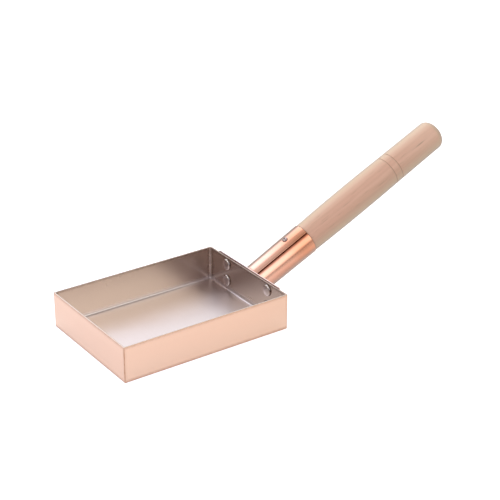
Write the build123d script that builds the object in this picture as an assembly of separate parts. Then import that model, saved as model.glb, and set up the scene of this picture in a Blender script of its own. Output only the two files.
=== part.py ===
from build123d import *
import math
import os

# Tamagoyaki pan: a box folded from copper sheet and tinned inside, with a riveted copper handle bracket
# that is rolled into a socket, and a turned wooden handle held in the socket by one screw.
# Millimetres. The origin is the middle of the face that the pan stands on, +X runs out along the handle,
# +Z is up, and left and right are as seen from inside the pan, looking towards the handle.

# Pan box
pan_length = 165.0
pan_width = 120.0
pan_height = 33.5
pan_sheet = 1.5
corner_outer_radius = 1.2
corner_inner_radius = 2.0
base_outer_radius = 1.1
base_inner_radius = 1.9
rim_chamfer = 0.3

# Bracket, all of one sheet; its wings lie flat against the back wall
bracket_sheet = 1.2
wing_span = 94.0
wing_above_rim = 1.0
wing_above_base = 1.0
wing_top_radius = 1.6
wing_bottom_radius = 7.0
wing_chamfer = 0.25

# Rolled socket, tilted up from the back wall; lengths run along its axis from the wall
handle_tilt = 25.2
socket_height = 17.2
socket_length = 70.5
socket_root_diameter = 27.8
socket_mouth_diameter = 29.6
collar_length = 9.4
flare_radius = 2.2
flare_bands = 4

# Lap seam of the socket: its angle from the socket's top towards the right, then the parts of the lap
seam_angle = 39.0
dip_angle = 24.0
lap_angle = 22.0
lap_gap = 0.15

# Rivets through the wall and the wings, heads inside the pan
rivet_spread = 63.0
rivet_rise = 16.0
rivet_middle_height = 18.4
rivet_shank_diameter = 5.0
rivet_clearance = 0.05
rivet_head_diameter = 11.0
rivet_head_height = 2.2
rivet_tail_diameter = 9.6
rivet_tail_height = 1.7
rivet_flat_share = 0.5

# Turned wooden handle; lengths run along its axis from its shoulder at the socket's mouth
shoulder_gap = 0.1
wood_length = 170.0
wood_mouth_diameter = 28.4
wood_swell_diameter = 30.1
wood_ring_diameter = 29.5
wood_end_diameter = 28.7
wood_swell_share = 0.41
wood_shoulder_chamfer = 0.4
wood_end_round_length = 8.6
wood_end_flat_diameter = 5.0
wood_end_bands = 5
turned_ring_place = 106.7
turned_ring_spacing = 7.7
turned_ring_count = 2
turned_ring_width = 1.1
turned_ring_depth = 0.5

# Tang of the handle, inside the socket
tang_length = 58.0
tang_clearance = 0.3
relief_margin_angle = 3.0

# Screw through the top of the socket into the tang, and the strip of the socket that holds its hole
screw_from_mouth = 18.8
screw_head_diameter = 5.4
screw_head_height = 1.3
screw_flat_share = 0.6
screw_shank_diameter = 3.0
screw_length = 11.0
screw_clearance = 0.05
screw_strip_angle = 37.0
screw_cross_length = 3.0
screw_cross_width = 0.7
screw_cross_depth = 0.6

# How far a cutting tool runs past what it cuts
overrun = 5.0

right_angle = 90.0
full_turn = 360.0
wall_face = pan_length / 2
wing_face = wall_face + bracket_sheet
wing_top = pan_height + wing_above_rim
seam_start = right_angle + seam_angle
screw_place = socket_length - screw_from_mouth
tilt = math.radians(handle_tilt)
along_handle = (math.cos(tilt), 0, math.sin(tilt))
to_left = (0, 1, 0)

# Local Z runs along the socket and local Y points up out of its top
socket_plane = Plane(origin=(wall_face, 0, socket_height), x_dir=to_left, z_dir=along_handle)


def station(place):
    """Plane square to the socket's axis at a distance from the wall."""
    return socket_plane.offset(place)


def socket_radius(place):
    """Outer radius of the socket's cone at a distance from the wall."""
    mouth_share = place / socket_length
    return (socket_root_diameter + (socket_mouth_diameter - socket_root_diameter) * mouth_share) / 2


def on_circle(radius, angle):
    return (radius * math.cos(math.radians(angle)), radius * math.sin(math.radians(angle)))


def long_arc(radius, start, sweep):
    """Arc about the socket's axis, of the elliptical kind, because faces lofted from it have few facets."""
    return EllipticalCenterArc((0, 0), radius, radius, start_angle=start, arc_size=sweep)


def rolled_line(radius, drop, start, tuck_angle):
    """Line that goes round at one radius to the dip, where it drops, and then on below the seam."""
    strip_start = seam_start + full_turn - dip_angle - screw_strip_angle
    half_sweep = (strip_start - start) / 2
    right_side = long_arc(radius, start, half_sweep)
    left_side = long_arc(radius, start + half_sweep, half_sweep)
    screw_strip = CenterArc((0, 0), radius, strip_start, screw_strip_angle)
    dip = Line(screw_strip @ 1, on_circle(radius - drop, seam_start))
    tuck = long_arc(radius - drop, seam_start, tuck_angle)
    return [right_side, left_side, screw_strip, dip, tuck]


def rolled_sheet_section(place):
    """Section of the rolled sheet: one edge lies on top at the seam, the other is tucked in below it."""
    radius = socket_radius(place)
    drop = bracket_sheet + lap_gap
    outside = rolled_line(radius, drop, seam_start, lap_angle)
    inside = rolled_line(radius - bracket_sheet, drop, seam_start, lap_angle)
    top_edge = Line(outside[0] @ 0, inside[0] @ 0)
    tucked_edge = Line(outside[-1] @ 1, inside[-1] @ 1)
    return station(place) * make_face(Curve() + outside + inside + [top_edge, tucked_edge])


def tang_section(place):
    """Section of the tang: round, with a relief that clears the tucked edge of the sheet."""
    radius = socket_radius(place) - bracket_sheet - tang_clearance
    relief_angle = lap_angle + relief_margin_angle
    outline = rolled_line(radius, bracket_sheet + lap_gap, seam_start + relief_angle, relief_angle)
    step = Line(outline[-1] @ 1, outline[0] @ 0)
    return station(place) * make_face(Curve() + outline + [step])


def rivet_places():
    """Name, y and z of each rivet."""
    places = []
    for level, upward in (("upper", 1), ("lower", -1)):
        for side, leftward in (("left", 1), ("right", -1)):
            y = leftward * rivet_spread / 2
            z = rivet_middle_height + upward * rivet_rise / 2
            places.append(("rivet_" + level + "_" + side, y, z))
    return places


def rivet_hole(y, z):
    length = pan_sheet + bracket_sheet + 2 * overrun
    hole = Cylinder(rivet_shank_diameter / 2 + rivet_clearance, length)
    return Pos(wall_face, y, z) * Rot(0, right_angle, 0) * hole


def tray(length, width, height, corner_radius, base_radius):
    """Block that stands on z = 0, rounded on its upright edges and round its base."""
    block = Box(length, width, height, align=(Align.CENTER, Align.CENTER, Align.MIN))
    block = fillet(block.edges().filter_by(Axis.Z), corner_radius)
    return fillet(block.faces().sort_by(Axis.Z)[0].edges(), base_radius)


def make_pan_body():
    body = tray(pan_length, pan_width, pan_height, corner_outer_radius, base_outer_radius)
    inner_length = pan_length - 2 * pan_sheet
    inner_width = pan_width - 2 * pan_sheet
    inside = tray(inner_length, inner_width, pan_height, corner_inner_radius, base_inner_radius)
    body -= Pos(0, 0, pan_sheet) * inside
    body = chamfer(body.faces().sort_by(Axis.Z)[-1].edges(), rim_chamfer)
    for _, y, z in rivet_places():
        body -= rivet_hole(y, z)
    return body


def wing_room():
    """Space that the wings fill up to their outline, and the space beyond them for the socket."""
    height = wing_top - wing_above_base
    outline = Rectangle(wing_span, height)
    outline = fillet(outline.vertices().group_by(Axis.Y)[-1], wing_top_radius)
    outline = fillet(outline.vertices().group_by(Axis.Y)[0], wing_bottom_radius)
    middle = Plane(origin=(wall_face, 0, wing_above_base + height / 2), x_dir=to_left, z_dir=(1, 0, 0))
    wings = extrude(middle * outline, bracket_sheet)
    wings = chamfer(wings.faces().sort_by(Axis.X)[-1].edges(), wing_chamfer)
    flare = extrude(middle * offset(outline, -wing_chamfer), bracket_sheet + flare_radius)
    beyond = Box(2 * socket_length, wing_span, 4 * pan_height, align=(Align.MIN, Align.CENTER, Align.CENTER))
    return wings + flare + Pos(wing_face + flare_radius, 0, 0) * beyond


def collar_round(inset):
    """Round bar along the socket's axis, from behind the wall to the collar's end."""
    reach = socket_root_diameter * math.tan(tilt)
    section = Circle(socket_root_diameter / 2 - inset)
    return extrude(station(-reach) * section, reach + collar_length)


def flare_section(band):
    """Outline of the collar cut parallel to the wings, spread more the nearer it is to them."""
    across, out = on_circle(flare_radius, right_angle * band / flare_bands)
    spread = flare_radius - out
    from_wing = flare_radius - across
    radius = socket_root_diameter / 2
    height = socket_height + (bracket_sheet + from_wing) * math.tan(tilt)
    plane = Plane(origin=(wing_face + from_wing, 0, height), x_dir=to_left, z_dir=(1, 0, 0))
    return plane * Ellipse(radius + spread, radius / math.cos(tilt) + spread)


def make_wings_and_collar():
    """Wings with the socket's root drawn out of them through a flare, open through to the wall."""
    from_wall = (Align.MIN, Align.CENTER, Align.CENTER)
    tall = 2 * (pan_height + overrun)
    plate = Pos(wall_face, 0, pan_height / 2) * Box(bracket_sheet, wing_span, tall, align=from_wall)
    beyond_wall = Pos(wall_face, 0, 0) * Box(socket_length, wing_span, 2 * tall, align=from_wall)
    flare = loft([flare_section(band) for band in range(flare_bands + 1)], ruled=True)
    joined = plate + flare + (collar_round(0) & beyond_wall)
    joined -= collar_round(bracket_sheet)
    return joined & wing_room()


def screw_plane():
    """Plane on the cone's top under the screw's head, with local Y out along the screw."""
    seat = station(screw_place).from_local_coords((0, socket_radius(screw_place), 0))
    mouth_top = station(socket_length).from_local_coords((0, socket_radius(socket_length), 0))
    return Plane(origin=seat, x_dir=mouth_top - seat, z_dir=(0, -1, 0))


def screw_hole(radius):
    hole = Cylinder(radius, screw_length, align=(Align.CENTER, Align.CENTER, Align.MIN))
    return screw_plane() * Rot(right_angle, 0, 0) * hole


def make_handle_bracket():
    bracket = make_wings_and_collar()
    bracket += loft([rolled_sheet_section(collar_length), rolled_sheet_section(socket_length)], ruled=True)
    for _, y, z in rivet_places():
        bracket -= rivet_hole(y, z)
    return bracket - screw_hole(screw_shank_diameter / 2 + screw_clearance)


def make_rivet():
    """Rivet about local Y, with the inner wall at y = 0 and the head above it."""
    grip = pan_sheet + bracket_sheet
    shank = rivet_shank_diameter / 2
    head = rivet_head_diameter / 2
    tail = rivet_tail_diameter / 2
    outline = Polyline(
        (0, rivet_head_height),
        (head * rivet_flat_share, rivet_head_height),
        (head, 0),
        (shank, 0),
        (shank, -grip),
        (tail, -grip),
        (tail * rivet_flat_share, -grip - rivet_tail_height),
        (0, -grip - rivet_tail_height),
        close=True,
    )
    return revolve(make_face(outline), Axis.Y)


def place_rivet(y, z):
    inner_wall = Plane(origin=(wall_face - pan_sheet, y, z), x_dir=to_left, z_dir=(0, 0, 1))
    return inner_wall * make_rivet()


def make_screw():
    """Screw with a bevelled head and a cross recess."""
    head = screw_head_diameter / 2
    shank = screw_shank_diameter / 2
    outline = Polyline(
        (0, screw_head_height),
        (head * screw_flat_share, screw_head_height),
        (head, 0),
        (shank, 0),
        (shank, -screw_length),
        (0, -screw_length),
        close=True,
    )
    screw = revolve(make_face(outline), Axis.Y)
    for length, width in ((screw_cross_length, screw_cross_width), (screw_cross_width, screw_cross_length)):
        screw -= Pos(0, screw_head_height, 0) * Box(length, 2 * screw_cross_depth, width)
    return screw_plane() * screw


def make_turned_grip():
    """Grip about local Y, from the socket's mouth at y = 0: swelled up to its turned rings, then straight."""
    shoulder = (wood_mouth_diameter / 2, wood_shoulder_chamfer)
    swell = (wood_swell_diameter / 2, wood_length * wood_swell_share)
    ring = (wood_ring_diameter / 2, turned_ring_place)
    flat = wood_end_flat_diameter / 2
    end_points = []
    for band in range(wood_end_bands + 1):
        across, along = on_circle(1, right_angle * band / wood_end_bands)
        radius = flat + (wood_end_diameter / 2 - flat) * across
        end_points.append((radius, wood_length + wood_end_round_length * (along - 1)))
    end_points += [(0, wood_length), (0, 0), (shoulder[0] - wood_shoulder_chamfer, 0), shoulder]
    outline = make_face(Curve() + [ThreePointArc(shoulder, swell, ring), Polyline([ring] + end_points)])
    for number in range(turned_ring_count):
        outline -= turned_ring(turned_ring_place + number * turned_ring_spacing)
    return revolve(outline, Axis.Y)


def turned_ring(place):
    """Section of a vee groove turned into the grip's side."""
    straight_length = wood_length - wood_end_round_length - turned_ring_place
    taper = (wood_ring_diameter - wood_end_diameter) / 2 / straight_length
    radius = wood_ring_diameter / 2 - taper * (place - turned_ring_place)
    bottom = (radius - turned_ring_depth, place)
    edge = radius + turned_ring_depth
    sides = Polyline(bottom, (edge, place + turned_ring_width), (edge, place - turned_ring_width), bottom)
    return make_face(sides)


def make_wooden_handle():
    shoulder = station(socket_length + shoulder_gap).origin
    turning_plane = Plane(origin=shoulder, x_dir=to_left, z_dir=(math.sin(tilt), 0, -math.cos(tilt)))
    tang_start = socket_length - tang_length
    tang = loft([tang_section(tang_start), tang_section(socket_length + overrun)], ruled=True)
    handle = turning_plane * make_turned_grip() + tang
    return handle - screw_hole(screw_shank_diameter / 2)


def main():
    os.makedirs("parts", exist_ok=True)
    parts = {
        "pan_body": make_pan_body(),
        "handle_bracket": make_handle_bracket(),
        "wooden_handle": make_wooden_handle(),
        "fixing_screw": make_screw(),
    }
    for name, y, z in rivet_places():
        parts[name] = place_rivet(y, z)
    for name, part in parts.items():
        export_step(part, os.path.join("parts", name + ".step"))
        print(name, "volume", round(part.volume), "solids", len(part.solids()))


main()
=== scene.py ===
# Tamagoyaki pan: a copper box wiped with tin inside, a riveted copper bracket rolled into a socket,
# and a turned wooden handle held in the socket by one screw.
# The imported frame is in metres. The sizes here are millimetres and become metres when a mesh is made.
# +X runs out along the handle, +Z is up and left is +Y, as seen from inside the pan.
import math
import bmesh
import bpy
from mathutils import Matrix, Vector


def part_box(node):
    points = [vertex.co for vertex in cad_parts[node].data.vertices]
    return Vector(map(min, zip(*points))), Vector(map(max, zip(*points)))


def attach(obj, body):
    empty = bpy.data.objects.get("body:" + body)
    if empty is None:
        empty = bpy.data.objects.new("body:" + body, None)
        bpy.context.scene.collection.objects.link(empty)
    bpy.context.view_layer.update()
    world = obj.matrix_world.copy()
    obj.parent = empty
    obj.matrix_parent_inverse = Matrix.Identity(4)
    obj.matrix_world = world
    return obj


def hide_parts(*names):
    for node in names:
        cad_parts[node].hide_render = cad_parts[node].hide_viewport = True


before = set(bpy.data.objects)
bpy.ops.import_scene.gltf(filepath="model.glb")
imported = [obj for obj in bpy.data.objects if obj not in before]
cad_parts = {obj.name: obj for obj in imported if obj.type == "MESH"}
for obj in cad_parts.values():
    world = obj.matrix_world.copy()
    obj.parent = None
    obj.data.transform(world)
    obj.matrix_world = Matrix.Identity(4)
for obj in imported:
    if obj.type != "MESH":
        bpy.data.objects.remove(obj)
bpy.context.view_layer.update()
mm = 0.001
weldReach = 0.0005 * mm  # points this near each other become one
tiny = 1e-9  # slack for comparing
print("frame loaded:", ", ".join(sorted(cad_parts)))


# Small tools for meshes

def inMillimetres(node):
    low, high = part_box(node)
    return Vector(low) / mm, Vector(high) / mm


def easeInOut(share):
    share = min(max(share, 0.0), 1.0)
    return share * share * (3 - 2 * share)


def ramp(value, start, end):  # eases from 0 at the start to 1 at the end
    return easeInOut((value - start) / (end - start))


def spread(start, end, steps):
    return [start + (end - start) * step / steps for step in range(steps + 1)]


def placed(origin, x, y, z):  # carries the local axes to these directions and local zero to the origin
    return Matrix.Translation(origin) @ Matrix((x, y, z)).transposed().to_4x4()


def addObject(name, data):
    item = bpy.data.objects.new(name, data)
    bpy.context.scene.collection.objects.link(item)
    return item


def addFace(bm, verts, slot=0, flip=False):
    face = bm.faces.new(list(reversed(verts)) if flip else verts)
    face.material_index = slot
    face.smooth = True


def skin(bm, rows, masks, slot=0, wrapRows=False):  # quads between rows of points, each row a closed ring
    maskLayer = bm.verts.layers.float.get("edgeMask") or bm.verts.layers.float.new("edgeMask")
    grid = []
    for row, rowMasks in zip(rows, masks):
        line = []
        for point, mask in zip(row, rowMasks):
            vert = bm.verts.new(Vector(point) * mm)
            vert[maskLayer] = mask
            line.append(vert)
        grid.append(line)
    pairs = list(zip(grid, grid[1:]))
    if wrapRows:
        pairs.append((grid[-1], grid[0]))
    for number, (first, second) in enumerate(pairs):
        rowSlot = slot[number] if isinstance(slot, list) else slot
        for i in range(len(first)):
            j = (i + 1) % len(first)
            addFace(bm, (first[i], first[j], second[j], second[i]), rowSlot)
    return grid


def lathe(bm, profile, around):  # profile of (radius, height, mask) about local Z, closed at both ends
    turns = [math.tau * i / around for i in range(around)]
    rows = []
    for radius, height, _ in profile:
        rows.append([(radius * math.cos(a), radius * math.sin(a), height) for a in turns])
    grid = skin(bm, rows, [[mask] * around for _, _, mask in profile])
    addFace(bm, grid[0], flip=True)
    addFace(bm, grid[-1])


def finishPiece(name, bm, nodes, materials, place=None):
    bmesh.ops.remove_doubles(bm, verts=bm.verts, dist=weldReach)
    bmesh.ops.dissolve_degenerate(bm, edges=bm.edges, dist=weldReach)
    bmesh.ops.recalc_face_normals(bm, faces=bm.faces)
    if place:
        bm.transform(place)
    mesh = bpy.data.meshes.new(name)
    bm.to_mesh(mesh)
    bm.free()
    for material in materials:
        mesh.materials.append(material)
    piece = addObject(name, mesh)
    normals = piece.modifiers.new("flatsStayFlat", "WEIGHTED_NORMAL")
    normals.keep_sharp = True
    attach(piece, "root")
    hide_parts(*nodes)
    print(name, "has", len(mesh.polygons), "faces")
    return piece


# Small tools for shader nodes

mixInputs, mixResult = (0, 6, 7), 2  # the sockets of a Mix node that blend colours
noiseReach = (0.3, 0.7)  # where nearly all of a noise lies


def setSocket(tree, socket, value):  # a link from another node or a plain value
    if isinstance(value, bpy.types.NodeSocket):
        tree.links.new(value, socket)
    else:
        socket.default_value = value


def setInOrder(tree, sockets, values):
    for socket, value in zip(sockets, values):
        setSocket(tree, socket, value)


def setByName(tree, sockets, **values):  # _ stands for a space
    for key, value in values.items():
        setSocket(tree, sockets[key.replace("_", " ")], value)


def addNode(tree, kind, **values):  # capitalised keywords are sockets, the others are settings of the node
    node = tree.nodes.new("ShaderNode" + kind)
    for key, value in values.items():
        if key[0].isupper():
            setByName(tree, node.inputs, **{key: value})
        else:
            setattr(node, key, value)
    return node


def useGroup(tree, group, **values):
    return addNode(tree, "Group", node_tree=group, **values).outputs


def calculate(tree, operation, *values, clamp=False):
    node = addNode(tree, "Math", operation=operation, use_clamp=clamp)
    setInOrder(tree, node.inputs, values)
    return node.outputs[0]


def multiply(tree, first, second):
    return calculate(tree, "MULTIPLY", first, second)


def vectorMath(tree, operation, *values):
    node = addNode(tree, "VectorMath", operation=operation)
    setInOrder(tree, node.inputs, values)
    return node.outputs["Value" if operation in ("DOT_PRODUCT", "DISTANCE", "LENGTH") else "Vector"]


def scaled(tree, vector, share):
    return addNode(tree, "VectorMath", operation="SCALE", Vector=vector, Scale=share).outputs["Vector"]


def mixColors(tree, share, first, second):
    node = addNode(tree, "Mix", data_type="RGBA", clamp_factor=True)
    setInOrder(tree, [node.inputs[number] for number in mixInputs], (share, first, second))
    return node.outputs[mixResult]


def remap(tree, value, fromLow, fromHigh, toLow, toHigh, smooth=False):
    node = addNode(tree, "MapRange", interpolation_type="SMOOTHSTEP" if smooth else "LINEAR")
    setInOrder(tree, node.inputs, (value, fromLow, fromHigh, toLow, toHigh))
    return node.outputs[0]


def blendOver(tree, color, other, value, reach, share):  # the other's share grows with the value
    return mixColors(tree, remap(tree, value, *reach, 0.0, share, smooth=True), color, other)


def noise(tree, spot, scale, detail):
    return addNode(tree, "TexNoise", Vector=spot, Scale=scale, Detail=detail).outputs["Fac"]


def stretched(tree, spot, scale):
    return addNode(tree, "Mapping", Vector=spot, Scale=scale).outputs[0]


def turnedAway(tree):  # 0 where the surface faces the eye, 1 at its outline
    return addNode(tree, "LayerWeight", Blend=0.5).outputs["Facing"]


def rgb(red, green, blue):
    return (red, green, blue, 1.0)


def startGroup(name, inputs, outputs):
    tree = bpy.data.node_groups.new(name, "ShaderNodeTree")
    for socketName, kind, value in inputs:
        socket = tree.interface.new_socket(socketName, in_out="INPUT", socket_type="NodeSocket" + kind)
        if value is not None:
            socket.default_value = value
    for socketName in outputs:
        kind = "Color" if socketName == "Color" else "Float"
        tree.interface.new_socket(socketName, in_out="OUTPUT", socket_type="NodeSocket" + kind)
    return tree, tree.nodes.new("NodeGroupInput").outputs, tree.nodes.new("NodeGroupOutput").inputs


# Wear and painted shade along edges: a mask painted on the mesh, broken up by noise, turns the colour and
# dulls the polish; in bends, seams and gaps it is mostly painted shadow and painted dark reflection
def buildEdgeWearAndShade(detail=4.0, low=0.35, high=0.65):
    tree, given, result = startGroup(
        "edgeWear",
        [("Coordinates", "Vector", None), ("Color", "Color", rgb(0.8, 0.8, 0.8)),
         ("Worn Color", "Color", rgb(0.4, 0.3, 0.2)), ("Amount", "Float", 1.0),
         ("Breakup Scale", "Float", 400.0), ("Breakup", "Float", 0.4)],
        ["Color", "Mask"],
    )
    painted = addNode(tree, "Attribute", attribute_name="edgeMask").outputs["Fac"]
    rough = noise(tree, given["Coordinates"], given["Breakup Scale"], detail)
    broken = remap(tree, rough, low, high, calculate(tree, "SUBTRACT", 1.0, given["Breakup"]), 1.0)
    mask = calculate(tree, "MULTIPLY", multiply(tree, painted, broken), given["Amount"], clamp=True)
    setByName(tree, result, Color=mixColors(tree, mask, given["Color"], given["Worn Color"]), Mask=mask)
    return tree


# Wipe marks of polishing or tinning: broad clouds, fine streaks drawn out along the way of the hand,
# and scratches that are finer still
def buildWipeMarks(detail=3.0, scratchFineness=3.0, scratchDetail=1.0, scratchReach=(0.6, 0.75)):
    tree, given, result = startGroup(
        "wipeMarks",
        [("Coordinates", "Vector", None), ("Stretch", "Vector", (1.0, 1.0, 1.0)), ("Scale", "Float", 60.0),
         ("Streak", "Vector", (0.02, 1.0, 1.0)), ("Streak Scale", "Float", 900.0)],
        ["Broad", "Fine", "Scratches"],
    )
    clouds = stretched(tree, given["Coordinates"], given["Stretch"])
    streaks = stretched(tree, given["Coordinates"], given["Streak"])
    scratchScale = multiply(tree, given["Streak Scale"], scratchFineness)
    broad = noise(tree, clouds, given["Scale"], detail)
    fine = noise(tree, streaks, given["Streak Scale"], detail)
    scratches = noise(tree, streaks, scratchScale, scratchDetail)
    setByName(tree, result, Broad=remap(tree, broad, *noiseReach, 0.0, 1.0),
              Fine=remap(tree, fine, *noiseReach, 0.0, 1.0),
              Scratches=remap(tree, scratches, *scratchReach, 0.0, 1.0))
    return tree


# Unevenness of hand-worked sheet, as a height
def buildHandWork(dentDetail=1.0, grainDetail=2.0):
    tree, given, result = startGroup(
        "handWork",
        [("Coordinates", "Vector", None), ("Dent Scale", "Float", 20.0), ("Dents", "Float", 1.0),
         ("Grain Scale", "Float", 900.0), ("Grain", "Float", 0.05)],
        ["Height"],
    )
    dents = noise(tree, given["Coordinates"], given["Dent Scale"], dentDetail)
    grain = noise(tree, given["Coordinates"], given["Grain Scale"], grainDetail)
    large = multiply(tree, dents, given["Dents"])
    setByName(tree, result, Height=calculate(tree, "MULTIPLY_ADD", grain, given["Grain"], large))
    return tree


edgeWear = buildEdgeWearAndShade()
wipeMarks = buildWipeMarks()
handWork = buildHandWork()


def startMaterial(name, **constants):
    material = bpy.data.materials.new(name)
    material.use_nodes = True
    tree = material.node_tree
    tree.nodes.clear()
    shader = addNode(tree, "BsdfPrincipled", **constants)
    addNode(tree, "OutputMaterial", Surface=shader.outputs[0])
    return material, tree, shader


def metalMaterial(look):
    material, tree, shader = startMaterial(look["name"], Metallic=1.0)
    spot = addNode(tree, "TexCoord").outputs["Object"]
    marks = useGroup(tree, wipeMarks, Coordinates=spot, Stretch=look["stretch"], Scale=look["markScale"],
                     Streak=look["streak"], Streak_Scale=look["streakScale"])
    color = mixColors(tree, marks["Broad"], look["color"], look["secondColor"])
    color = mixColors(tree, multiply(tree, marks["Fine"], look["fineShare"]), color, look["fineColor"])
    along = vectorMath(tree, "DOT_PRODUCT", spot, look["fadeAlong"])
    start, end = look["fadeReach"]
    fade = remap(tree, along, start * mm, end * mm, 0.0, 1.0, smooth=True)
    patchy = remap(tree, marks["Broad"], 0.0, 1.0, 1.0 - look["fadePatches"], 1.0)
    fadeShare = multiply(tree, multiply(tree, fade, patchy), look["fadeShare"])
    color = mixColors(tree, fadeShare, color, look["fadeColor"])
    if look.get("rimShare"):  # painted grey sheen where the surface turns away
        color = blendOver(tree, color, look["rimColor"], turnedAway(tree), look["rimReach"], look["rimShare"])
    # wear and painted shade where the edge mask is painted
    worn = useGroup(tree, edgeWear, Coordinates=spot, Color=color, Worn_Color=look["wornColor"],
                    Amount=look["wornAmount"], Breakup_Scale=look["wornScale"], Breakup=look["wornBreakup"])
    roughness = remap(tree, marks["Broad"], 0.0, 1.0, *look["polish"])
    for name, share in (("scratch", marks["Scratches"]), ("worn", worn["Mask"]), ("fade", fade)):
        roughness = calculate(tree, "MULTIPLY_ADD", share, look[name + "Roughness"], roughness)
    for place in look.get("burnishedPlaces", ()):
        away = vectorMath(tree, "DISTANCE", spot, Vector(place) * mm)
        near, far = look["burnishReach"]
        smoother = remap(tree, away, near * mm, far * mm, look["burnish"], 1.0, smooth=True)
        roughness = multiply(tree, roughness, smoother)
    height = useGroup(tree, handWork, Coordinates=spot, Dent_Scale=look["dentScale"], Dents=look["dents"],
                      Grain_Scale=look["grainScale"], Grain=look["grain"])
    bump = addNode(tree, "Bump", Strength=1.0, Distance=mm, Height=height["Height"])
    setByName(tree, shader.inputs, Base_Color=worn["Color"], Roughness=roughness, Normal=bump.outputs[0])
    return material


copperLook = {
    "name": "polishedCopper", "color": rgb(0.95, 0.68, 0.53), "secondColor": rgb(0.95, 0.70, 0.55),
    "fineColor": rgb(0.93, 0.62, 0.47), "fineShare": 0.15,
    "stretch": (0.3, 0.3, 1.0), "markScale": 22.0, "streak": (0.02, 0.02, 1.0), "streakScale": 900.0,
    "polish": (0.16, 0.21), "scratchRoughness": 0.04,
    # the worn and shaded colour is mostly painted dark reflection in the bends and rims
    "wornColor": rgb(0.36, 0.13, 0.05), "wornAmount": 0.9, "wornScale": 300.0, "wornBreakup": 0.35,
    "wornRoughness": 0.15, "dentScale": 12.0, "dents": 0.2, "grainScale": 2500.0, "grain": 0.002,
    # painted light: the walls keep a paler colour low down, where they mirror the shaded floor by the pan, and
    # turn a little darker upwards
    "fadeAlong": (0.0, 0.0, 1.0), "fadeReach": (0.0, 24.0), "fadeShare": 0.7,
    "fadeColor": rgb(0.93, 0.63, 0.48), "fadePatches": 0.0, "fadeRoughness": 0.0,
}
tinLook = {
    "name": "wipedTin", "color": rgb(0.74, 0.66, 0.64), "secondColor": rgb(0.77, 0.70, 0.68),
    "fineColor": rgb(0.69, 0.59, 0.55), "fineShare": 0.12,
    "stretch": (0.5, 1.0, 0.8), "markScale": 30.0, "streak": (1.0, 0.03, 0.3), "streakScale": 500.0,
    "polish": (0.30, 0.35), "scratchRoughness": 0.02, "burnish": 0.3, "burnishReach": (6.0, 10.0),
    # the worn and shaded colour is mostly painted dark reflection in the inner bends, corners and rim
    "wornColor": rgb(0.20, 0.13, 0.10), "wornAmount": 0.75, "wornScale": 350.0, "wornBreakup": 0.5,
    "wornRoughness": 0.1, "dentScale": 16.0, "dents": 0.15, "grainScale": 1800.0, "grain": 0.003,
    "fadeAlong": (0.0, 0.0, 1.0), "fadeReach": (2.0, 7.0), "fadeShare": 0.8,
    "fadeColor": rgb(0.64, 0.52, 0.43), "fadePatches": 0.0, "fadeRoughness": -0.08,
}
bracketLook = dict(
    copperLook, name="socketCopper", color=rgb(0.94, 0.57, 0.44), secondColor=rgb(0.94, 0.53, 0.40),
    fineColor=rgb(0.93, 0.45, 0.31), fineShare=0.25,
    stretch=(0.6, 1.0, 1.0), markScale=70.0, streak=(0.03, 1.0, 0.05), streakScale=700.0, polish=(0.16, 0.20),
    # painted grey sheen towards the outline
    rimShare=0.7, rimReach=(0.3, 0.75), rimColor=rgb(0.56, 0.53, 0.47),
    fadeAlong=(0.905, 0.0, 0.426), fadeReach=(90.0, 150.0), fadeShare=1.0, fadePatches=0.35,
    fadeColor=rgb(0.77, 0.33, 0.185), dentScale=24.0, dents=0.15,
    # the worn and shaded colour is painted shadow in the seam, at the mouth and inside the socket
    wornColor=rgb(0.27, 0.065, 0.025), wornAmount=1.0, wornBreakup=0.1, wornRoughness=0.2,
)
tinnedEdgeLook = dict(
    tinLook, name="tinnedBracketEdge", color=rgb(0.58, 0.47, 0.46), secondColor=rgb(0.62, 0.52, 0.50),
    fineColor=rgb(0.52, 0.42, 0.39), fadeAlong=(0.0, -1.0, 0.0), fadeReach=(-8.0, 2.0), fadeShare=0.85,
    fadeColor=rgb(0.97, 0.74, 0.66), fadeRoughness=0.0,
    # the worn and shaded colour is painted shadow where the wings meet the wall
    polish=(0.2, 0.3), wornColor=rgb(0.20, 0.13, 0.11), wornAmount=0.9, wornBreakup=0.2,
)
rivetLook = dict(
    tinLook, name="tinnedRivet", color=rgb(0.68, 0.60, 0.57), secondColor=rgb(0.74, 0.66, 0.62),
    fineColor=rgb(0.60, 0.46, 0.38), polish=(0.16, 0.22), fadeShare=0.0, fadeRoughness=0.0, markScale=90.0,
    # the worn and shaded colour is painted shadow at the foot of the heads
    wornColor=rgb(0.12, 0.07, 0.05), wornAmount=0.9, wornBreakup=0.15,
)
screwLook = dict(
    tinLook, name="screwSteel", color=rgb(0.56, 0.44, 0.40), secondColor=rgb(0.50, 0.38, 0.34),
    fineColor=rgb(0.34, 0.26, 0.23), polish=(0.15, 0.25), fadeShare=0.0, fadeRoughness=0.0, markScale=120.0,
    # the worn and shaded colour is wear and painted shadow at the rim of the head
    wornColor=rgb(0.10, 0.09, 0.09), wornAmount=0.9,
)


def rivetPlace(node):  # the inmost height of the rivet's head, and its middle across and up
    low, high = inMillimetres(node)
    return low.x, (low.y + high.y) / 2, (low.z + high.z) / 2


rivetNodes = sorted(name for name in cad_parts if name.startswith("rivet_"))
panCopper = metalMaterial(copperLook)
panTin = metalMaterial(dict(tinLook, burnishedPlaces=[rivetPlace(node) for node in rivetNodes]))
socketCopper = metalMaterial(bracketLook)
tinnedEdge = metalMaterial(tinnedEdgeLook)
rivetMetal = metalMaterial(rivetLook)
screwSteel = metalMaterial(screwLook)
print("metals are ready")


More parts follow.
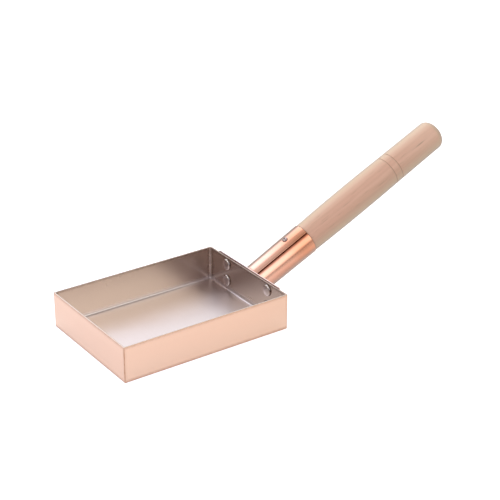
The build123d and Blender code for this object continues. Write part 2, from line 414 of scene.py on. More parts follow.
# Pan body: one ring of points round the box for each row of a profile that goes from the middle of the
# underside out, up the outer wall, over the rim, down the inner wall and in across the floor
panHigh = inMillimetres("pan_body")[1]
pan = {
    "sheet": 1.5, "outerCorner": 1.2, "innerCorner": 2.0, "tightCorner": 0.1, "outerBase": 1.1,
    "innerBase": 1.9, "rimEase": 0.35, "cornerSteps": 8, "bendSteps": 9, "rimSteps": 3, "wearReach": 2.5,
    # painted dark reflection along the rims: how much on each side, and the least on the outer edge of the rim
    "rimWear": {"back": 0.9, "far": 0.65, "left": 0.0, "near": 0.0}, "outerRimWear": 0.45,
    # painted dark reflection at the edges of a bend, what its middle has more, and the power with which that
    # falls off; at the outer base it is painted shadow
    "outerCornerWear": (0.1, 0.9, 2), "innerCornerWear": (0.5, -0.15, 1), "outerBaseWear": (0.55, 0.45),
    # painted dark reflection low in the inner bend: how much, and the angles where it comes and where it goes
    "innerBaseWear": 0.32, "innerBaseFrom": (30.0, 50.0), "innerBaseTo": (80.0, 95.0),
}


def panRing(inset, height, corner, inner):
    least, more, power = pan["innerCornerWear" if inner else "outerCornerWear"]
    steps = pan["cornerSteps"]
    bend = [least + more * math.sin(math.pi * step / steps) ** power for step in range(steps + 1)]
    points = []
    for number, (sideX, sideY) in enumerate(((1, 1), (-1, 1), (-1, -1), (1, -1))):
        centre = Vector((sideX * (panHigh.x - inset - corner), sideY * (panHigh.y - inset - corner)))
        turns = [math.radians(90 * number + a) for a in spread(0, 90, steps)]
        arc = [centre + corner * Vector((math.cos(a), math.sin(a))) for a in turns]
        before = Vector((math.sin(turns[0]), -math.cos(turns[0]))) * pan["wearReach"]
        after = Vector((-math.sin(turns[-1]), math.cos(turns[-1]))) * pan["wearReach"]
        points += [(point.x, point.y, height) for point in [arc[0] + before] + arc + [arc[-1] + after]]
    return points, ([0.0] + bend + [0.0]) * 4


def rimMasks(count, least):  # painted dark reflection along the back and the far wall
    sides = ("back", "far", "left", "near")  # the side that each corner turns into comes next
    each = count // 4
    masks = []
    for number in range(4):
        before, after = pan["rimWear"][sides[number]], pan["rimWear"][sides[(number + 1) % 4]]
        masks += [max(least, before + (after - before) * ramp(step, 1, each - 2)) for step in range(each)]
    return masks


def makePan():
    sheet, rim, reach, tight = pan["sheet"], pan["rimEase"], pan["wearReach"], pan["tightCorner"]
    outerBase, outerCorner = pan["outerBase"], pan["outerCorner"]
    innerBase, innerCorner = pan["innerBase"], pan["innerCorner"]
    top = panHigh.z
    rows = [(outerBase + reach, 0.0, tight, 0.0)]  # inset, height, corner radius, mask
    for a in spread(-90, 0, pan["bendSteps"]):
        turn = math.radians(a)
        inset = outerBase * (1 - math.cos(turn))
        least, more = pan["outerBaseWear"]
        mask = least + more * math.sin(-2 * turn)
        rows.append((inset, outerBase * (1 + math.sin(turn)), outerCorner - inset, mask))
    rows.append((0.0, outerBase + reach, outerCorner, 0.0))
    rows.append((0.0, top - rim - reach, outerCorner, 0.0))
    for a in spread(0, 90, pan["rimSteps"]):
        turn = math.radians(a)
        inset = rim * (1 - math.cos(turn))
        rows.append((inset, top - rim * (1 - math.sin(turn)), outerCorner - inset, "outer rim"))
    tinFrom = len(rows) - 2  # the copper ends just outside the top of the rim
    for a in spread(90, 180, pan["rimSteps"]):
        turn = math.radians(a)
        inset = sheet - rim - rim * math.cos(turn)
        rows.append((inset, top - rim * (1 - math.sin(turn)), innerCorner + sheet - inset, "rim"))
    rows.append((sheet, top - rim - reach, innerCorner, 0.0))
    rows.append((sheet, sheet + innerBase + reach, innerCorner, 0.0))
    for a in spread(0, -90, pan["bendSteps"]):
        turn = math.radians(a)
        inset = sheet + innerBase * (1 - math.cos(turn))
        corner = max(innerCorner - (inset - sheet), tight)
        mask = pan["innerBaseWear"] * ramp(-a, *pan["innerBaseFrom"]) * (1 - ramp(-a, *pan["innerBaseTo"]))
        rows.append((inset, sheet + innerBase * (1 + math.sin(turn)), corner, mask))
    rows.append((sheet + innerBase + reach, sheet, tight, 0.0))
    rings = []
    ringMasks = []
    for number, (inset, height, corner, mask) in enumerate(rows):
        points, bends = panRing(inset, height, corner, number > tinFrom)
        rings.append(points)
        if mask in ("rim", "outer rim"):
            rimLeast = pan["outerRimWear"] if mask == "outer rim" and inset < rim / 2 else 0.0
            ringMasks.append(rimMasks(len(points), rimLeast))
        else:
            upright = 0.0 if height in (0.0, sheet) else 1.0  # the flats have no painted dark reflection of the corners
            ringMasks.append([max(mask, upright * bend) for bend in bends])
    bm = bmesh.new()
    grid = skin(bm, rings, ringMasks, [0 if number < tinFrom else 1 for number in range(len(rings) - 1)])
    addFace(bm, grid[0], 0, flip=True)
    addFace(bm, grid[-1], 1)
    finishPiece("panBox", bm, ["pan_body"], [panCopper, panTin])


makePan()


# Handle bracket: wings with the root of the socket drawn out of them, then the rolled tube with its lap seam
wallFace = panHigh.x
socket = {
    "tilt": 25.2, "height": 17.2, "length": 70.5, "rootDiameter": 27.8, "mouthDiameter": 29.6, "sheet": 1.2,
    "flareRadius": 2.2, "flareSteps": 12, "rootOverlap": 1.2, "rootClearance": 0.01,
    "seamAngle": 129.0, "dipAngle": 24.0, "lapAngle": 22.0, "lapGap": 0.15, "fallFrom": 0.8,
    "seamGrowth": 1.6, "edgeRound": 0.3, "mouthRound": 0.35, "around": 110, "dipSteps": 40, "lapSteps": 6,
    "rows": 24, "growthSteps": 6, "edgeSteps": 4, "mouthSteps": 4,
    # painted shadow beside the sheet's open edge and how far round it goes, then the painted shade of the
    # mouth, where the wood goes in, and of the inner face, and the share of the fall at which the seam's
    # painted shadow is full
    "edgeWear": 0.9, "wornReach": 12.0, "mouthWear": 0.3, "innerWear": 0.5, "darkFall": 0.1,
}
wings = {
    "span": 94.0, "aboveBase": 1.0, "aboveRim": 1.0, "topCorner": 1.6, "bottomCorner": 7.0, "edgeRound": 0.5,
    "cornerSteps": 8, "edgeSteps": 10, "around": 120,
    "edgeWear": 0.1, "innerWear": 0.68, "innerWearTo": (20.0, 70.0),  # angles round the edge where the painted shadow against the wall goes
}
tilt = math.radians(socket["tilt"])
socketAxis = Vector((math.cos(tilt), 0.0, math.sin(tilt)))
socketUp = Vector((-math.sin(tilt), 0.0, math.cos(tilt)))
socketLeft = Vector((0.0, 1.0, 0.0))
socketOrigin = Vector((wallFace, 0.0, socket["height"]))
rootRadius = socket["rootDiameter"] / 2


def onSocket(radius, degrees, place):
    turn = math.radians(degrees)
    across = socketLeft * radius * math.cos(turn)
    return socketOrigin + across + socketUp * radius * math.sin(turn) + socketAxis * place


def socketRadius(place):
    return rootRadius + (socket["mouthDiameter"] / 2 - rootRadius) * place / socket["length"]


# Distance along the axis where a point of the tube is so far out from the wall
def placeAtDepth(radius, degrees, out):
    return (out + radius * math.sin(math.radians(degrees)) * math.sin(tilt)) / math.cos(tilt)


def socketCentre(out):  # (left, up) of the axis so far out from the wall
    return Vector((0.0, socket["height"] + out * math.tan(tilt)))


def wingOutline(inset):  # corner points of the wings as (left, up), anticlockwise from the lower right
    low = wings["aboveBase"] + inset
    high = panHigh.z + wings["aboveRim"] - inset
    half = wings["span"] / 2 - inset
    corners = ((half, low, wings["bottomCorner"], -90), (half, high, wings["topCorner"], 0),
               (-half, high, wings["topCorner"], 90), (-half, low, wings["bottomCorner"], 180))
    points = []
    for y, z, size, start in corners:
        radius = size - inset
        centre = Vector((y - math.copysign(radius, y), z + radius if z == low else z - radius))
        for a in spread(start, start + 90, wings["cornerSteps"]):
            points.append(centre + radius * Vector((math.cos(math.radians(a)), math.sin(math.radians(a)))))
    return points


def outlineReach(outline, centre, turn):  # how far the outline is from the centre in a direction
    direction = Vector((math.cos(turn), math.sin(turn)))
    for start, end in zip(outline, outline[1:] + outline[:1]):
        along = end - start
        cross = direction.x * along.y - direction.y * along.x
        if abs(cross) < tiny:
            continue
        gap = start - centre
        reach = (gap.x * along.y - gap.y * along.x) / cross
        share = (gap.x * direction.y - gap.y * direction.x) / cross
        if reach > 0 and -tiny <= share <= 1 + tiny:
            return reach
    return 0.0


def ellipseReach(across, upward, turn):
    return 1 / math.hypot(math.cos(turn) / across, math.sin(turn) / upward)


def makeWings(bm):
    sheet = socket["sheet"]
    ease = wings["edgeRound"]
    eased = wingOutline(ease)
    middle = socketCentre(sheet)
    turns = [math.tau * i / wings["around"] for i in range(wings["around"])]
    for point in wingOutline(0.0) + eased:
        turns.append(math.atan2(point.y - middle.y, point.x - middle.x) % math.tau)
    turns = sorted(set(round(turn, 5) for turn in turns))  # each turn only once
    rows = []
    masks = []

    def addRow(out, reachOf, mask, centre=middle):
        row = []
        for turn in turns:
            reach = reachOf(turn)
            row.append((wallFace + out, centre.x + reach * math.cos(turn), centre.y + reach * math.sin(turn)))
        rows.append(row)
        masks.append([mask] * len(turns))

    def boreReach(turn):
        return ellipseReach(rootRadius - sheet, (rootRadius - sheet) / math.cos(tilt), turn)

    addRow(0.0, boreReach, 0.0)
    for a in spread(0, 180, wings["edgeSteps"]):  # round the edge of the sheet, from the wall outwards
        bend = math.radians(a)
        ring = wingOutline(ease * (1 - math.sin(bend)))
        out = ease * (1 - math.cos(bend)) if a <= 90 else sheet - ease * (1 + math.cos(bend))
        # painted shadow where the edge of the wings meets the wall
        wear = max(wings["edgeWear"], wings["innerWear"] * (1 - ramp(a, *wings["innerWearTo"])))
        addRow(out, lambda turn: outlineReach(ring, middle, turn), wear)
        if a == 90:
            addRow(sheet - ease, lambda turn: outlineReach(ring, middle, turn), wear)
    tinnedRows = len(rows) - 3  # the rest are the outer face
    for a in spread(0, 90, socket["flareSteps"]):
        bend = math.radians(a)
        out = sheet + socket["flareRadius"] * (1 - math.cos(bend))
        centre = socketCentre(out)
        grown = socket["flareRadius"] * (1 - math.sin(bend))

        def flareReach(turn):
            radius = socketRadius(placeAtDepth(rootRadius, math.degrees(turn), out)) - socket["rootClearance"]
            reach = ellipseReach(radius + grown, radius / math.cos(tilt) + grown, turn)
            return min(reach, outlineReach(eased, centre, turn))

        addRow(out, flareReach, 0.0, centre)
    endOut = sheet + socket["flareRadius"]
    addRow(endOut, boreReach, 0.0, socketCentre(endOut))
    skin(bm, rows, masks, [1] * tinnedRows + [0] * (len(rows) - tinnedRows), wrapRows=True)


# The rolled sheet as matched points of its outer and inner face: (angle, share of the lap's drop)
def sheetLines():
    seam = socket["seamAngle"]
    dipStart = seam + 360 - socket["dipAngle"]
    line = [(a, 0.0) for a in spread(seam, dipStart, socket["around"])]
    for t in spread(0, 1, socket["dipSteps"])[1:]:
        line.append((dipStart + socket["dipAngle"] * t, ramp(t, socket["fallFrom"], 1)))
    line += [(seam + 360 + socket["lapAngle"] * t, 1.0) for t in spread(0, 1, socket["lapSteps"])[1:]]
    return line


def makeTube(bm):
    sheet, mouth, seam = socket["sheet"], socket["length"], socket["seamAngle"]
    growth, ease, mouthRound = socket["seamGrowth"], socket["edgeRound"], socket["mouthRound"]
    drop = sheet + socket["lapGap"]
    start = sheet + socket["flareRadius"]
    line = sheetLines()
    # distance out from the wall at the root, share of the way to the mouth, and inset of the rounded mouth,
    # where None and the distance back from the mouth take the place of the first two
    rowPlaces = [(start - socket["rootOverlap"], 0.0, 0.0)]
    rowPlaces += [(start + growth * t, 0.0, 0.0) for t in spread(0, 1, socket["growthSteps"])]
    rowPlaces += [(start + growth, t, 0.0) for t in spread(0, 1, socket["rows"])[1:-1]]
    for a in spread(0, 90, socket["mouthSteps"]):
        bend = math.radians(a)
        rowPlaces.append((None, mouthRound * (1 - math.sin(bend)), mouthRound * (1 - math.cos(bend))))
    edgeSteps = socket["edgeSteps"]
    edgeAngle = math.degrees(ease / rootRadius)
    rows = []
    masks = []
    for out, share, inset in rowPlaces:
        grown = 1.0 if out is None else easeInOut((out - start) / growth)

        def point(depth, degrees):
            if out is None:
                place = mouth - share
            else:
                place = placeAtDepth(rootRadius, degrees, out) * (1 - share) + mouth * share
            return onSocket(socketRadius(place) - depth, degrees, place)

        ring = []
        mask = []
        for a in spread(0, 90, edgeSteps):  # the exposed edge of the sheet, rounded
            bend = math.radians(a)
            ring.append(point(inset + ease * (1 - math.sin(bend)), seam + edgeAngle * (1 - math.cos(bend))))
            mask.append(grown)
        for degrees, fallen in line[1:]:
            tucked = degrees > seam + 360 + tiny  # past the seam, under the lap, and down from the root on
            under = fallen if tucked else fallen * grown
            ring.append(point(inset + drop * under, degrees))
            # painted shadow in the seam's dip and beside the open edge, and painted shade at the mouth
            besideEdge = socket["edgeWear"] * grown * (1 - easeInOut((degrees - seam) / socket["wornReach"]))
            atMouth = socket["mouthWear"] if inset else 0.0
            mask.append(max(easeInOut(under / socket["darkFall"]), besideEdge, atMouth))
        for degrees, fallen in reversed(line):
            ring.append(point(sheet - inset + drop * fallen, degrees))
            mask.append(socket["innerWear"])
        rows.append(ring)
        masks.append(mask)
    grid = skin(bm, rows, masks)
    innerFrom = len(grid[0]) - len(line)
    for row, flip in ((grid[0], False), (grid[-1], True)):  # the sheet's thickness at both ends
        outer = row[edgeSteps:innerFrom]
        inner = list(reversed(row[innerFrom:]))
        for i in range(len(line) - 1):
            addFace(bm, [outer[i], outer[i + 1], inner[i + 1], inner[i]], flip=flip)
        addFace(bm, row[:edgeSteps + 1] + [inner[0]], flip=flip)


def makeBracket():
    bm = bmesh.new()
    makeWings(bm)
    makeTube(bm)
    finishPiece("handleBracket", bm, ["handle_bracket"], [socketCopper, tinnedEdge])


makeBracket()


# Rivets: buttons with their heads inside the pan and their tails on the wings
rivets = {
    "headDiameter": 11.0, "headHeight": 1.95, "tailDiameter": 9.6, "tailHeight": 1.7, "shank": 5.0,
    "faceShare": 0.7, "crown": 0.22, "faceSteps": 4, "steps": 12, "around": 56,
    "shankWear": 0.5, "footWear": (47.0, 77.0),  # angles down the side where the painted shadow at the foot comes
}


def buttonProfile(diameter, height):  # (radius, height, mask) from the middle of the face out to the foot
    radius = diameter / 2
    face = radius * rivets["faceShare"]
    shoulder = height - rivets["crown"]
    profile = [(face * t, height - rivets["crown"] * t * t, 0.0) for t in spread(0, 1, rivets["faceSteps"])]
    for a in spread(0, 90, rivets["steps"])[1:]:
        bend = math.radians(a)
        foot = ramp(a, *rivets["footWear"])
        profile.append((face + (radius - face) * math.sin(bend), shoulder * math.cos(bend), foot))
    return profile


def makeRivet(node):
    shank, wear = rivets["shank"] / 2, rivets["shankWear"]
    grip = pan["sheet"] + socket["sheet"]
    tail = buttonProfile(rivets["tailDiameter"], rivets["tailHeight"])
    tail = [(radius, -grip - height, mask) for radius, height, mask in tail]
    head = list(reversed(buttonProfile(rivets["headDiameter"], rivets["headHeight"])))
    bm = bmesh.new()
    lathe(bm, tail[1:] + [(shank, -grip, wear), (shank, 0.0, wear)] + head[:-1], rivets["around"])
    middle = Vector((wallFace - pan["sheet"], *rivetPlace(node)[1:])) * mm
    place = Matrix.Translation(middle) @ Matrix.Rotation(math.radians(-90), 4, "Y")
    side = node.replace("rivet_", "").title().replace("_", "")
    finishPiece("rivet" + side, bm, [node], [rivetMetal], place)


for node in rivetNodes:
    makeRivet(node)


# Screw: a domed head with a cross recess
screw = {
    "place": 51.7, "headDiameter": 5.4, "headHeight": 1.3, "headFoot": 0.12, "shank": 3.0, "length": 11.0,
    # wear and painted shadow round the rim of the head
    "tipRadius": 0.3, "tipEase": 0.3, "tipHeights": (0.9, 1.4), "wear": 0.9, "wornFrom": 0.93,
    "crossLength": 3.0, "crossWidth": 0.75, "crossDepth": 0.8, "crossTaper": 0.7, "crossTurn": 20.0,
    "cutAbove": 0.5, "around": 48, "steps": 10,
}


def crossOutline():
    half = screw["crossLength"] / 2
    narrow = screw["crossWidth"] / 2
    arm = [(half, -narrow), (half, narrow), (narrow, narrow)]
    outline = []
    for _ in range(4):
        outline += arm
        arm = [(-y, x) for x, y in arm]
    return outline


def makeCrossCutter(place):
    outline = crossOutline()
    taper = screw["crossTaper"]
    bottom, top = screw["headHeight"] - screw["crossDepth"], screw["headHeight"] + screw["cutAbove"]
    bm = bmesh.new()
    low = [bm.verts.new((x * taper * mm, y * taper * mm, bottom * mm)) for x, y in outline]
    high = [bm.verts.new((x * mm, y * mm, top * mm)) for x, y in outline]
    for i in range(len(outline)):
        j = (i + 1) % len(outline)
        bm.faces.new((low[i], low[j], high[j], high[i]))
    bm.faces.new(list(reversed(low)))
    bm.faces.new(high)
    bmesh.ops.rotate(bm, verts=bm.verts, matrix=Matrix.Rotation(math.radians(screw["crossTurn"]), 3, "Z"))
    mesh = bpy.data.meshes.new("crossCutter")
    bm.to_mesh(mesh)
    bm.free()
    cutter = addObject("crossCutter", mesh)
    cutter.matrix_world = place
    bpy.context.view_layer.update()
    return cutter


def makeScrew():
    seat = onSocket(socketRadius(screw["place"]), 90, screw["place"]) * mm
    mouthTop = onSocket(socketRadius(socket["length"]), 90, socket["length"]) * mm
    along = (mouthTop - seat).normalized()
    out = along.cross(socketLeft)
    place = placed(seat, along, out.cross(along), out)
    head, foot = screw["headDiameter"] / 2, screw["headFoot"]
    shank, tip = screw["shank"] / 2, -screw["length"]
    ease, rise = screw["tipHeights"]
    profile = [(screw["tipRadius"], tip), (shank - screw["tipEase"], tip + ease), (shank, tip + rise)]
    profile += [(shank, 0.0), (head, 0.0), (head, foot)]
    for a in spread(0, 90, screw["steps"])[1:-1]:
        bend = math.radians(a)
        profile.append((head * math.cos(bend), foot + (screw["headHeight"] - foot) * math.sin(bend)))
    wornFrom = head * screw["wornFrom"]
    bm = bmesh.new()
    lathe(bm, [(radius, height, screw["wear"] if radius >= wornFrom else 0.0) for radius, height in profile],
          screw["around"])
    piece = finishPiece("fixingScrew", bm, ["fixing_screw"], [screwSteel], place)
    cutter = makeCrossCutter(place)
    cut = piece.modifiers.new("crossRecess", "BOOLEAN")
    cut.operation = "DIFFERENCE"
    cut.solver = "EXACT"
    cut.object = cutter
    piece.modifiers.move(1, 0)  # cut first, then weigh the normals
    bpy.context.view_layer.update()
    solved = bpy.data.meshes.new_from_object(piece.evaluated_get(bpy.context.evaluated_depsgraph_get()))
    piece.modifiers.clear()
    piece.data = solved
    bpy.data.objects.remove(cutter)


makeScrew()


# Wooden handle: turned about its own axis, with local Z along it so that the grain runs its length
wood = {
    "shoulder": 70.6, "length": 169.97, "mouthDiameter": 28.4, "swellDiameter": 30.1, "ringDiameter": 29.5,
    "endDiameter": 28.7, "swellShare": 0.41, "shoulderRound": 0.5, "endRound": 8.6, "endFlat": 2.5,
    "tangLength": 58.0, "tangDiameter": 22.4, "tangEase": 1.0,
    "ringPlaces": (104.3, 112.0), "ringWidth": 1.1, "ringDepth": 0.5,
    # fine steps so far each side of a groove, and none of the coarse ones within this distance
    "ringSpread": 1.2, "ringSteps": 16, "ringClear": 2.0,
    "around": 96, "firstStep": 1.0, "step": 2.5, "shoulderSteps": 4, "endSteps": 14,
    # painted shade on the shoulder where the wood meets the socket's mouth, and darker over the rounded end
    "shoulderWear": 0.5, "endWear": 0.6, "endWearFrom": (4.0, 34.0),
}


def circleThrough(first, second, third):
    (ax, ay), (bx, by), (cx, cy) = first, second, third
    a, b, c = ax * ax + ay * ay, bx * bx + by * by, cx * cx + cy * cy
    d = 2 * (ax * (by - cy) + bx * (cy - ay) + cx * (ay - by))
    x = (a * (by - cy) + b * (cy - ay) + c * (ay - by)) / d
    y = (a * (cx - bx) + b * (ax - cx) + c * (bx - ax)) / d
    return x, y, math.hypot(ax - x, ay - y)


def woodPlace():
    return placed((socketOrigin + socketAxis * wood["shoulder"]) * mm, socketLeft, socketUp, socketAxis)


def makeWood(material):
    edge = wood["shoulderRound"]
    shoulder = (wood["mouthDiameter"] / 2, edge)
    swell = (wood["swellDiameter"] / 2, wood["length"] * wood["swellShare"])
    ring = (wood["ringDiameter"] / 2, wood["ringPlaces"][0])
    centreX, centreZ, arcRadius = circleThrough(shoulder, swell, ring)
    endStart = wood["length"] - wood["endRound"]
    endRadius = wood["endDiameter"] / 2

    def gripRadius(height):
        if height <= ring[1]:
            return centreX + math.sqrt(arcRadius ** 2 - (height - centreZ) ** 2)
        return ring[0] + (endRadius - ring[0]) * (height - ring[1]) / (endStart - ring[1])

    def grooveDepth(height):
        away = min(abs(height - place) for place in wood["ringPlaces"]) / (wood["ringWidth"] / 2)
        return wood["ringDepth"] * (1 - easeInOut(away))

    tang, tangEnd, ease = wood["tangDiameter"] / 2, -wood["tangLength"], wood["tangEase"]
    profile = [(tang - ease, tangEnd, 0.0), (tang, tangEnd + ease, 0.0), (tang, 0.0, 0.0)]
    for a in spread(0, 90, wood["shoulderSteps"]):
        bend = math.radians(a)
        radius, height = shoulder[0] - edge * (1 - math.sin(bend)), edge * (1 - math.cos(bend))
        profile.append((radius, height, wood["shoulderWear"]))
    coarse = spread(edge + wood["firstStep"], endStart, int(endStart / wood["step"]))
    heights = {z for z in coarse if all(abs(z - place) > wood["ringClear"] for place in wood["ringPlaces"])}
    for place in wood["ringPlaces"]:
        heights |= set(spread(place - wood["ringSpread"], place + wood["ringSpread"], wood["ringSteps"]))
    for height in sorted(heights):
        depth = grooveDepth(height)
        profile.append((gripRadius(height) - depth, height, depth / wood["ringDepth"]))
    flat = wood["endFlat"]
    for a in spread(0, 90, wood["endSteps"])[1:]:
        bend = math.radians(a)
        radius = flat + (endRadius - flat) * math.cos(bend)
        height = endStart + wood["endRound"] * math.sin(bend)
        profile.append((radius, height, wood["endWear"] * ramp(a, *wood["endWearFrom"])))
    bm = bmesh.new()
    lathe(bm, profile, wood["around"])
    finishPiece("woodenHandle", bm, ["wooden_handle"], [material], woodPlace())


woodLook = {
    "name": "palePolishedWood", "pale": rgb(0.70, 0.41, 0.29), "roughness": (0.36, 0.48), "sheen": 0.9,
    # grain: noise drawn out along the handle, and rings warped by it
    "grainStretch": (1.0, 1.0, 0.12), "streakScale": 28.0, "streakDetail": 3.0, "streakDistortion": 0.6,
    "warp": (0.012, 0.012, 0.012), "dark": rgb(0.58, 0.33, 0.23), "ringShare": 0.35, "ringScale": 160.0,
    "ringDistortion": 2.5, "ringDetail": 2.0, "ringDetailScale": 1.5, "ringHeight": 0.01,
    "pink": rgb(0.72, 0.39, 0.28), "pinkReach": (0.4, 0.65), "pinkShare": 0.6,
    "blotchScale": 50.4, "blotchDetail": 4.0,
    "pore": rgb(0.36, 0.22, 0.15), "poreReach": (0.60, 0.72), "poreShare": 0.35, "poreHeight": -0.05,
    "poreStretch": (1.0, 1.0, 0.06), "poreScale": 1040.0, "poreDetail": 2.0,
    # towards the end, then a painted sheen where the surface turns away, and a painted grey sheen at its
    # outline
    "endColor": rgb(0.78, 0.49, 0.36), "endReach": (110.0 * mm, 160.0 * mm), "endShare": 0.6,
    "rimColor": rgb(0.71, 0.53, 0.36), "rimReach": (0.05, 0.55), "rimShare": 0.8,
    "edgeColor": rgb(0.50, 0.46, 0.43), "edgeReach": (0.5, 0.85), "edgeShare": 0.75,
    # a short dark streak of the grain: its middle, its half sizes and how far out it starts to fade
    "markPlace": (-11.2, 9.3, 142.0), "markSize": (0.95, 0.95, 7.6), "markFade": 0.3, "markShare": 0.6,
    "groove": rgb(0.36, 0.23, 0.16), "wornAmount": 0.7, "wornScale": 400.0, "wornBreakup": 0.3,
}


def woodMaterial(look):
    material, tree, shader = startMaterial(look["name"], Specular_IOR_Level=look["sheen"])
    place = woodPlace()
    around = addNode(tree, "TexCoord").outputs["Object"]
    spot = addNode(tree, "Mapping", vector_type="TEXTURE", Vector=around, Location=place.translation,
                   Rotation=place.to_euler()).outputs[0]  # along the handle, whichever way it points
    drawnOut = stretched(tree, spot, look["grainStretch"])
    streaks = addNode(tree, "TexNoise", Vector=drawnOut, Scale=look["streakScale"],
                      Detail=look["streakDetail"], Distortion=look["streakDistortion"]).outputs["Color"]
    warped = vectorMath(tree, "MULTIPLY_ADD", streaks, look["warp"], drawnOut)
    rings = addNode(tree, "TexWave", wave_type="RINGS", rings_direction="Z", Vector=warped,
                    Scale=look["ringScale"], Distortion=look["ringDistortion"],
                    Detail=look["ringDetail"], Detail_Scale=look["ringDetailScale"]).outputs["Fac"]
    blotch = noise(tree, drawnOut, look["blotchScale"], look["blotchDetail"])
    pores = noise(tree, stretched(tree, spot, look["poreStretch"]), look["poreScale"], look["poreDetail"])
    poreMask = remap(tree, pores, *look["poreReach"], 0.0, 1.0)
    color = mixColors(tree, multiply(tree, rings, look["ringShare"]), look["pale"], look["dark"])
    pink = remap(tree, blotch, *look["pinkReach"], 0.0, look["pinkShare"])
    color = mixColors(tree, pink, color, look["pink"])
    color = mixColors(tree, multiply(tree, poreMask, look["poreShare"]), color, look["pore"])
    along = addNode(tree, "SeparateXYZ", Vector=spot).outputs["Z"]
    facing = turnedAway(tree)
    # paler towards the end, a painted sheen where the surface turns away and a painted grey sheen at the
    # outline
    for value, name in ((along, "end"), (facing, "rim"), (facing, "edge")):
        other, reach, share = (look[name + part] for part in ("Color", "Reach", "Share"))
        color = blendOver(tree, color, other, value, reach, share)
    markPlace, markSize = Vector(look["markPlace"]) * mm, Vector(look["markSize"]) * mm
    fromMark = addNode(tree, "Mapping", vector_type="TEXTURE", Vector=spot, Location=markPlace, Scale=markSize)
    away = vectorMath(tree, "LENGTH", fromMark.outputs[0])
    mark = remap(tree, away, look["markFade"], 1.0, look["markShare"], 0.0, smooth=True)
    color = mixColors(tree, mark, color, look["pore"])
    # the grooves' own darker colour, painted shade on the shoulder by the socket's mouth, and darker over the
    # rounded end
    worn = useGroup(tree, edgeWear, Coordinates=spot, Color=color, Worn_Color=look["groove"],
                    Amount=look["wornAmount"], Breakup_Scale=look["wornScale"], Breakup=look["wornBreakup"])
    roughness = remap(tree, blotch, *noiseReach, *look["roughness"])
    ringHeight = multiply(tree, rings, look["ringHeight"])
    height = calculate(tree, "MULTIPLY_ADD", poreMask, look["poreHeight"], ringHeight)
    bump = addNode(tree, "Bump", Strength=1.0, Distance=mm, Height=height)
    setByName(tree, shader.inputs, Base_Color=worn["Color"], Roughness=roughness, Normal=bump.outputs[0])
    return material


makeWood(woodMaterial(woodLook))


# Floor, light and camera
studio = {  # the floor's size, places and reaches are in metres
    "floorSize": 60.0, "floorColor": rgb(0.6, 0.6, 0.6), "floorRoughness": 0.9,
    "floorGlow": 0.36, "farGlow": 0.1, "seenGlow": 0.9, "glowReach": (0.19, 0.36), "bounceShare": 0.3,
    # painted shadows on the floor, under the handle and by the pan's near corner: where, how far and by how
    # much
    "floorShades": (((0.15, 0.005), (0.035, 0.085), 0.6), ((0.125, -0.095), (0.01, 0.08), 0.14)),
    "warmGlow": rgb(1.0, 0.89, 0.855), "coolGlow": rgb(1.05, 1.07, 1.25),
    "tintAlong": (-0.82, 0.57, 0.0), "tintReach": (-0.14, 0.10),
    "backdrop": (0.52, 0.51, 0.50), "seenBackdrop": rgb(1.0, 1.0, 1.0),
    # the even light on what isn't glossy: the way it comes from, its least and its most, and its colour
    "diffuseFrom": (115.0, 45.0), "diffuseRange": (0.15, 1.36), "diffuseColor": (1.0, 0.99, 0.98),
    # azimuth and elevation of each soft light, its full and its outer half angle, strength and colour
    "softLights": (
        (90.0, 50.0, 7.0, 31.0, 1.5, (0.93, 0.98, 1.2)),
        (100.0, 82.0, 4.0, 24.0, 0.3, (0.95, 1.0, 1.15)),
        (50.0, 27.0, 14.0, 32.0, 0.66, (0.99, 1.0, 1.06)),
        (-84.0, 35.0, 2.0, 31.0, 1.3, (1.0, 0.97, 0.98)),
        (-52.0, 27.0, 10.0, 28.0, 0.5, (0.82, 0.83, 0.62)),
        (125.0, 26.0, 4.0, 22.0, 0.4, (1.0, 0.96, 0.95)),
        (-128.0, 32.0, 20.0, 42.0, -0.23, (1.0, 1.0, 0.62)),
        (178.0, 42.0, 8.0, 23.0, 1.2, (1.0, 0.98, 0.98)),
    ),
}


# The floor's glow is a painted pool of light round the pan, tinted warm on one side and cool on the other. The
# camera sees it evenly pale as far as it goes.
def floorMaterial():
    material, tree, shader = startMaterial("paleFloor", Base_Color=studio["floorColor"],
                                           Roughness=studio["floorRoughness"])
    spot = addNode(tree, "TexCoord").outputs["Object"]
    distance = vectorMath(tree, "LENGTH", spot)
    glow = remap(tree, distance, *studio["glowReach"], studio["floorGlow"], studio["farGlow"], smooth=True)
    # painted shadows dim the glow under the handle and by the near corner
    for place, reach, share in studio["floorShades"]:
        away = vectorMath(tree, "DISTANCE", spot, (*place, 0.0))
        glow = multiply(tree, glow, remap(tree, away, *reach, 1.0 - share, 1.0, smooth=True))
    ray = addNode(tree, "LightPath").outputs
    seen = multiply(tree, ray["Is Camera Ray"], studio["seenGlow"])
    bounced = remap(tree, ray["Is Diffuse Ray"], 0.0, 1.0, 1.0, studio["bounceShare"])
    glow = multiply(tree, calculate(tree, "MAXIMUM", glow, seen), bounced)
    across = vectorMath(tree, "DOT_PRODUCT", spot, studio["tintAlong"])
    cool = remap(tree, across, *studio["tintReach"], 0.0, 1.0)
    tint = mixColors(tree, cool, studio["warmGlow"], studio["coolGlow"])
    setByName(tree, shader.inputs, Emission_Color=tint, Emission_Strength=glow)
    return material


def makeFloor():
    half = studio["floorSize"] / 2
    mesh = bpy.data.meshes.new("floor")
    corners = [(-half, -half, 0), (half, -half, 0), (half, half, 0), (-half, half, 0)]
    mesh.from_pydata(corners, [], [(0, 1, 2, 3)])
    mesh.materials.append(floorMaterial())
    addObject("floor", mesh)


def direction(azimuth, elevation):
    az, el = math.radians(azimuth), math.radians(elevation)
    return Vector((math.cos(az) * math.cos(el), math.sin(az) * math.cos(el), math.sin(el)))


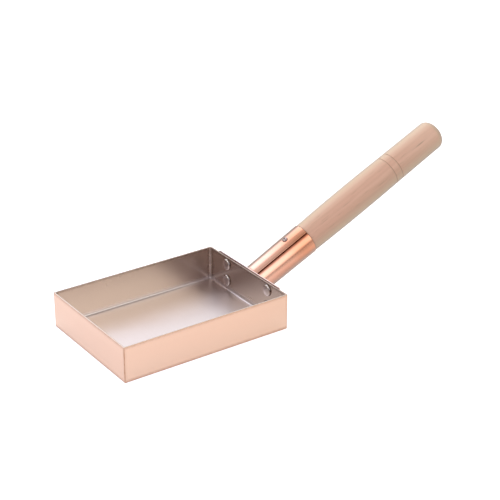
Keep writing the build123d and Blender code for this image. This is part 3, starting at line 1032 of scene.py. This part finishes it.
def makeWorld():
    world = bpy.data.worlds.new("softStudio")
    bpy.context.scene.world = world
    world.use_nodes = True
    tree = world.node_tree
    tree.nodes.clear()
    ray = addNode(tree, "TexCoord").outputs["Generated"]
    total = studio["backdrop"]
    for azimuth, elevation, full, outer, strength, color in studio["softLights"]:
        toward = vectorMath(tree, "DOT_PRODUCT", ray, direction(azimuth, elevation))
        dark, bright = math.cos(math.radians(outer)), math.cos(math.radians(full))
        glow = remap(tree, toward, dark, bright, 0.0, 1.0, smooth=True)
        total = vectorMath(tree, "ADD", scaled(tree, Vector(color) * strength, glow), total)
    toward = vectorMath(tree, "DOT_PRODUCT", ray, direction(*studio["diffuseFrom"]))
    even = scaled(tree, studio["diffuseColor"], remap(tree, toward, -1.0, 1.0, *studio["diffuseRange"]))
    path = addNode(tree, "LightPath").outputs
    shown = mixColors(tree, path["Is Diffuse Ray"], total, even)
    shown = mixColors(tree, path["Is Camera Ray"], shown, studio["seenBackdrop"])
    background = addNode(tree, "Background", Color=shown, Strength=1.0)
    addNode(tree, "OutputWorld", Surface=background.outputs[0])


# Degrees, and millimetres from the origin. The clip is in metres, and the focal length is in pixels of a
# square frame 500 pixels wide.
camera = {
    "azimuth": -35.279, "elevation": 25.473, "roll": 0.246, "distance": 1253.27, "acrossTarget": 68.903,
    "upTarget": 68.282, "focalPixels": 1427.66, "frameSize": 500.0, "sensor": 36.0, "clip": (0.05, 100.0),
}


def makeCamera():
    az, el = math.radians(camera["azimuth"]), math.radians(camera["elevation"])
    back = Vector((math.sin(az) * math.cos(el), -math.cos(az) * math.cos(el), math.sin(el)))
    right = Vector((math.cos(az), math.sin(az), 0.0))
    up = back.cross(right)
    roll = math.radians(camera["roll"])
    place = right * camera["acrossTarget"] + up * camera["upTarget"] + back * camera["distance"]
    right, up = right * math.cos(roll) + up * math.sin(roll), up * math.cos(roll) - right * math.sin(roll)
    data = bpy.data.cameras.new("camera")
    data.sensor_width = camera["sensor"]
    data.sensor_height = camera["sensor"]
    data.sensor_fit = "AUTO"
    data.lens = camera["sensor"] * camera["focalPixels"] / camera["frameSize"]
    data.clip_start, data.clip_end = camera["clip"]
    viewer = addObject("camera", data)
    viewer.matrix_world = placed(place * mm, right, up, back)
    bpy.context.scene.camera = viewer


makeFloor()
makeWorld()
makeCamera()
bpy.context.scene.view_settings.view_transform = "Standard"
print("floor, light and camera are in place")
